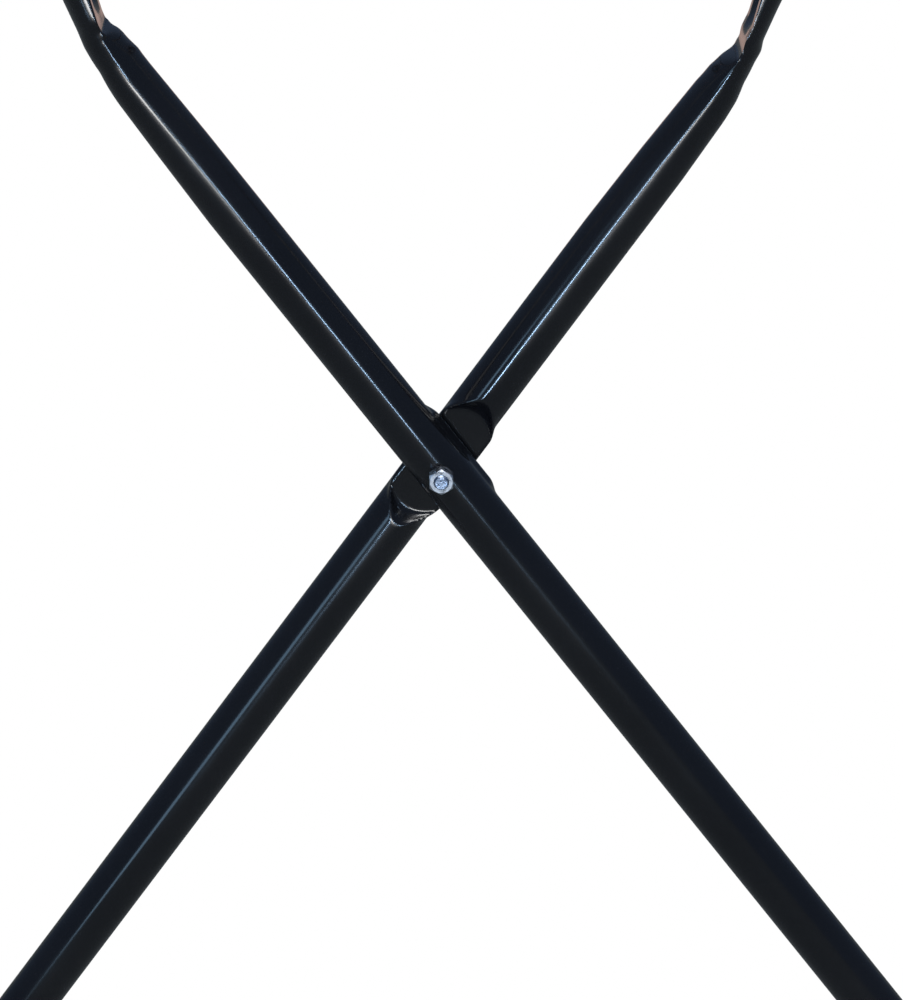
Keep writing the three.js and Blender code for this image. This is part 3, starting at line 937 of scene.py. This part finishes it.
@dataclass
class Sling:
    """The cloth bed, sleeved over both rails."""

    sizes: StandSizes
    half_length: float = 899 * MM
    sag_end: float = 200 * MM
    sag_middle: float = 290 * MM
    thick: float = 1.2 * MM
    clearance: float = 0.6 * MM
    wrap_degrees: float = 285.0
    wrap_steps: int = 26
    trough_steps: int = 64
    rows: int = 161
    settle_frames: int = 24
    largest_move: float = 16 * MM
    stitch_spacing: float = 4.5 * MM
    thread_radius: float = 0.45 * MM
    stitch_stretch: float = 3.6

    def section(self, sag: float, rail_x: float, rail_z: float) -> np.ndarray:
        """Path of the cloth across both rails at one place.

        Args:
            sag: depth of the trough below the rails.
            rail_x: half distance between the rails.
            rail_z: height of the rails.
        Returns:
            X and Z of each point.
        """
        mid = self.sizes.rail_radius + self.clearance + self.thick / 2
        alpha = math.atan(2 * sag / rail_x)
        for _ in range(6):
            alpha = math.atan(2 * sag / (rail_x - mid * math.sin(alpha)))
        share = np.linspace(1, 0, self.wrap_steps)
        theta = math.pi / 2 - alpha + math.radians(self.wrap_degrees) * share
        left = np.stack([-rail_x + mid * np.cos(theta), rail_z + mid * np.sin(theta)], axis=1)
        edge_x, edge_z = left[-1]
        drop = abs(edge_x) * math.tan(alpha) / 2
        x = np.linspace(edge_x, -edge_x, self.trough_steps + 1)[1:-1]
        trough = np.stack([x, edge_z - drop * (1 - (x / edge_x) ** 2)], axis=1)
        right = left[::-1] * np.array([-1, 1])
        return np.concatenate([left, trough, right])

    def grid(self) -> np.ndarray:
        """Points of the cloth as rows along the hammock."""
        rail = self.sizes.centre_of("rail_inner")
        rows = []
        for y in np.linspace(-self.half_length, self.half_length, self.rows):
            share = (y / self.half_length) ** 2
            sag = self.sag_middle - (self.sag_middle - self.sag_end) * share
            path = self.section(sag, rail.x, rail.z)
            rows.append(np.stack([path[:, 0], np.full(len(path), y), path[:, 1]], axis=1))
        return np.array(rows)

    def settle(self, points: np.ndarray) -> np.ndarray:
        """Lets the trough hang under its own weight with the sleeves held.

        Args:
            points: the cloth's grid.
        Returns:
            The settled grid, no point further than the largest move.
        """
        rows, columns = points.shape[:2]
        mesh = bpy.data.meshes.new("settling")
        mesh.from_pydata(points.reshape(-1, 3).tolist(), [], grid_faces(rows, columns, False))
        scene = bpy.context.scene
        cloth = place("settling", mesh)
        held = cloth.vertex_groups.new(name="held")
        edge = self.wrap_steps
        indices = [r * columns + c for r in range(rows)
                   for c in list(range(edge)) + list(range(columns - edge, columns))]
        held.add(indices, 1.0, "REPLACE")
        modifier = cloth.modifiers.new("cloth", "CLOTH")
        setting = modifier.settings
        setting.quality = 6
        setting.mass = 0.25
        setting.tension_stiffness = 40
        setting.compression_stiffness = 25
        setting.shear_stiffness = 12
        setting.bending_stiffness = 0.8
        setting.vertex_group_mass = "held"
        modifier.collision_settings.use_collision = False
        modifier.point_cache.frame_start = 1
        modifier.point_cache.frame_end = self.settle_frames
        for number in range(1, self.settle_frames + 1):
            scene.frame_set(number)
        graph = bpy.context.evaluated_depsgraph_get()
        done = cloth.evaluated_get(graph).to_mesh()
        settled = np.array([v.co for v in done.vertices]).reshape(points.shape)
        cloth.evaluated_get(graph).to_mesh_clear()
        bpy.data.objects.remove(cloth)
        scene.frame_set(1)
        move = settled - points
        far = np.linalg.norm(move, axis=-1, keepdims=True)
        LOG.info("cloth settled: furthest free move %.1f mm", far.max() / MM)
        return points + move * np.minimum(1.0, self.largest_move / np.maximum(far, 1e-9))

    def flat_map(self, mesh: bpy.types.Mesh, points: np.ndarray) -> None:
        """Writes the cloth's flat map, in metres, so the weave keeps its scale."""
        across = np.linalg.norm(np.diff(points, axis=1), axis=-1)
        across = np.concatenate([np.zeros((len(points), 1)), np.cumsum(across, axis=1)], axis=1)
        across -= across[:, -1:] / 2
        flat = np.stack([across, points[:, :, 1]], axis=-1).reshape(-1, 2)
        layer = mesh.uv_layers.new(name="flat")
        for loop in mesh.loops:
            layer.data[loop.index].uv = flat[loop.vertex_index]

    def normals(self, points: np.ndarray) -> np.ndarray:
        """Unit normals of the grid, pointing up out of the trough."""
        along = np.gradient(points, axis=0)
        across = np.gradient(points, axis=1)
        up = np.cross(across, along)
        return up / np.maximum(np.linalg.norm(up, axis=-1, keepdims=True), 1e-12)

    def stitches(self, points: np.ndarray) -> list[bpy.types.Object]:
        """Builds the rows of stitching beside the sleeves and along both ends.

        Args:
            points: the settled grid.
        Returns:
            The pieces.
        """
        up = self.normals(points)
        raised = points + up * (self.thick / 2 + 0.15 * MM)
        w = self.wrap_steps
        inner = slice(w + 2, points.shape[1] - w - 2)
        lines = {
            "sleeve_stitches_outer": [raised[:, w + 1], raised[:, w + 2]],
            "sleeve_stitches_inner": [raised[:, -w - 2], raised[:, -w - 3]],
            "hem_stitches_front": [raised[2, inner], raised[3, inner]],
            "hem_stitches_back": [raised[-3, inner], raised[-4, inner]],
        }
        shape = stitch_shape()
        made = []
        for name, rows in lines.items():
            spots, edges = [], []
            for row in rows:
                first = len(spots)
                spots += [tuple(map(float, p)) for p in row]
                edges += [(first + i, first + i + 1) for i in range(len(row) - 1)]
            mesh = bpy.data.meshes.new(name)
            mesh.from_pydata(spots, edges, [])
            piece = place(name, mesh)
            shape.run(piece, {"Spacing": self.stitch_spacing, "Thread": self.thread_radius,
                              "Long": self.stitch_stretch})
            made.append(piece)
        return made

    def build(self) -> None:
        """Builds the cloth and its stitching in place of the imported sling."""
        points = self.grid()
        points = self.settle(points)
        rows, columns = points.shape[:2]
        mesh = bpy.data.meshes.new("sling_cloth")
        mesh.from_pydata(points.reshape(-1, 3).tolist(), [], grid_faces(rows, columns, False))
        mesh.shade_smooth()
        self.flat_map(mesh, points)
        mesh.materials.append(CLOTH.material())
        cloth = place("sling_cloth", mesh)
        wall = cloth.modifiers.new("wall", "SOLIDIFY")
        wall.thickness = self.thick
        wall.offset = 0.0
        graph = bpy.context.evaluated_depsgraph_get()
        solid = bpy.data.meshes.new_from_object(cloth.evaluated_get(graph))
        cloth.modifiers.clear()
        cloth.data = solid
        pieces = self.stitches(points)
        rail = self.sizes.centre_of("rail_inner")
        for piece in [cloth, *pieces]:
            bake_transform(piece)
        cloth.visible_glossy = False
        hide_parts("sling")


@dataclass
class Studio:
    """Camera, lights, background and floor."""

    sizes: StandSizes
    distance: float = 2.776
    elevation: float = 20.0
    azimuth: float = 0.0
    roll: float = -0.89
    focal_share: float = 4.985
    aim: tuple[float, float] = (-0.0105, 0.039)
    depth_behind: float = 0.18
    strip_distance: float = 2.5
    strip_blue: tuple[float, float, float] = (0.46, 0.70, 1.0)
    floor_half: float = 30.0

    def camera(self) -> None:
        """Places the camera; its far clip ends just behind the near crossing."""
        e, az, roll = (math.radians(v) for v in (self.elevation, self.azimuth, self.roll))
        back = Vector((-math.sin(az) * math.cos(e), -math.cos(az) * math.cos(e), math.sin(e)))
        right = (-back).cross(Vector((0, 0, 1))).normalized()
        up = right.cross(-back)
        right, up = (right * math.cos(roll) + up * math.sin(roll),
                     up * math.cos(roll) - right * math.sin(roll))
        target = Vector((0, -self.sizes.end_half + self.sizes.axis_gap / 2, self.sizes.pivot().z))
        data = bpy.data.cameras.new("view")
        data.sensor_width = 36.0
        data.lens = 36.0 * self.focal_share
        data.shift_x = -self.aim[0]
        data.shift_y = -self.aim[1]
        data.clip_start = 0.1
        data.clip_end = self.distance + self.depth_behind
        camera = place("view", data)
        pose = Matrix((right, up, back)).transposed().to_4x4()
        pose.translation = target + back * self.distance
        camera.matrix_world = pose
        bpy.context.scene.camera = camera

    def area_light(self, name: str, spot: tuple, aim: tuple, size: tuple, power: float,
                   colour: tuple = (1, 1, 1), spin: float = 0.0) -> None:
        """Adds one soft rectangular light, spun in degrees about its own axis."""
        data = bpy.data.lights.new(name, "AREA")
        data.shape = "RECTANGLE"
        data.size, data.size_y = size
        data.energy = power
        data.color = colour
        light = place(name, data)
        light.location = spot
        light.visible_camera = False
        direction = Vector(aim) - Vector(spot)
        light.rotation_mode = "QUATERNION"
        turn = Quaternion((0, 0, 1), math.radians(spin))
        light.rotation_quaternion = direction.to_track_quat("-Z", "Y") @ turn

    def world(self) -> None:
        """White to the camera, a dim blue room in reflections, soft light elsewhere."""
        world = bpy.data.worlds.new("studio")
        world.use_nodes = True
        bpy.context.scene.world = world
        tree = world.node_tree
        background = tree.nodes["Background"]
        path = tree.nodes.new("ShaderNodeLightPath")
        colour = (0.55, 0.55, 0.56, 1)
        for ray, seen in (("Is Glossy Ray", (0.06, 0.085, 0.135, 1)),
                          ("Is Camera Ray", (1, 1, 1, 1))):
            mix = tree.nodes.new("ShaderNodeMix")
            mix.data_type = "RGBA"
            if isinstance(colour, tuple):
                mix.inputs[6].default_value = colour
            else:
                tree.links.new(colour, mix.inputs[6])
            mix.inputs[7].default_value = seen
            tree.links.new(path.outputs[ray], mix.inputs[0])
            colour = mix.outputs[2]
        tree.links.new(colour, background.inputs["Color"])

    def floor(self) -> None:
        """Lays a plain pale floor under the feet, dim in reflections."""
        half = self.floor_half
        mesh = bpy.data.meshes.new("floor")
        mesh.from_pydata([(-half, -half, 0), (half, -half, 0), (half, half, 0), (-half, half, 0)],
                         [], [(0, 1, 2, 3)])
        material = Finish("pale_floor", (0.80, 0.80, 0.79), (0.84, 0.84, 0.83),
                          0.0, (0.7, 0.8), 200.0, 2.0, 0.02).material()
        tree = material.node_tree
        shader = tree.nodes["Principled BSDF"]
        dark = tree.nodes.new("ShaderNodeEmission")
        dark.inputs["Color"].default_value = (0.80, 0.92, 1.0, 1)
        dark.inputs["Strength"].default_value = 0.13
        path = tree.nodes.new("ShaderNodeLightPath")
        choose = tree.nodes.new("ShaderNodeMixShader")
        tree.links.new(path.outputs["Is Glossy Ray"], choose.inputs[0])
        tree.links.new(shader.outputs[0], choose.inputs[1])
        tree.links.new(dark.outputs[0], choose.inputs[2])
        tree.links.new(choose.outputs[0], tree.nodes["Material Output"].inputs[0])
        mesh.materials.append(material)
        place("floor", mesh)

    def build(self) -> None:
        """Sets up the whole studio."""
        bpy.context.scene.view_settings.view_transform = "Standard"
        self.camera()
        self.world()
        self.floor()
        for side, along, long, power in ((1, 0.225, 0.36, 3.4), (-1, 0.17, 0.46, 7.0)):
            spot, aim = self.mirror_spot(side, along)
            self.area_light(f"strip_{side}", spot, aim, (0.05, long), power, self.strip_blue,
                            side * (90 - self.sizes.leg_angle))
        self.area_light("side", (-1.6, -3.0, 0.4), (-0.18, -0.94, 0.2), (0.4, 0.9), 3.2,
                        (0.42, 0.70, 1.0))
        self.area_light("front", (0, -3.9, 0.35), (0, -0.95, 0.42), (1.0, 0.3), 16)
        self.area_light("warm_card", (0, 0.05, 0.44), (0, -0.95, 0.68), (0.26, 0.22), 0.085,
                        (1.0, 0.62, 0.50))
        self.area_light("key", (0, -3.2, 3.2), (0, -0.9, 0.45), (1.6, 1.0), 60)
        self.area_light("top", (0, 0, 4.0), (0, 0, 0.5), (2.4, 3.0), 60)

    def mirror_spot(self, side: int, along: float) -> tuple:
        """Where a strip must hang to shine back from the middle of an upper leg.

        Args:
            side: 1 for the leg that rises to -X, -1 for the other.
            along: distance from the pivot up the leg.
        Returns:
            The strip's place and the point it faces.
        """
        leg = math.radians(self.sizes.leg_angle)
        up = Vector((-side * math.cos(leg), 0, math.sin(leg)))
        e = math.radians(self.elevation)
        seen = Vector((0, -math.cos(e), math.sin(e)))
        point = Vector((0, -self.sizes.end_half, self.sizes.pivot().z)) + up * along
        return tuple(point + (seen - up * (2 * seen.dot(up))) * self.strip_distance), tuple(point)


def main() -> None:
    """Builds the hammock in order."""
    logging.basicConfig(level=logging.INFO, format="%(name)s %(message)s")
    sizes = StandSizes()
    Studio(sizes).build()
    tube_shape = straight_tube_shape()
    HalfFrame("outer", Body.OUTER, sizes.outer_radius, sizes.end_half, -1, sizes,
              tube_shape).build()
    HalfFrame("inner", Body.INNER, sizes.inner_radius, sizes.end_half - sizes.axis_gap, 1,
              sizes, tube_shape).build()
    for end, tag in ((-1, "front"), (1, "back")):
        Pivot(end, tag, sizes).build()
    Sling(sizes).build()


if __name__ == "__main__":
    main()
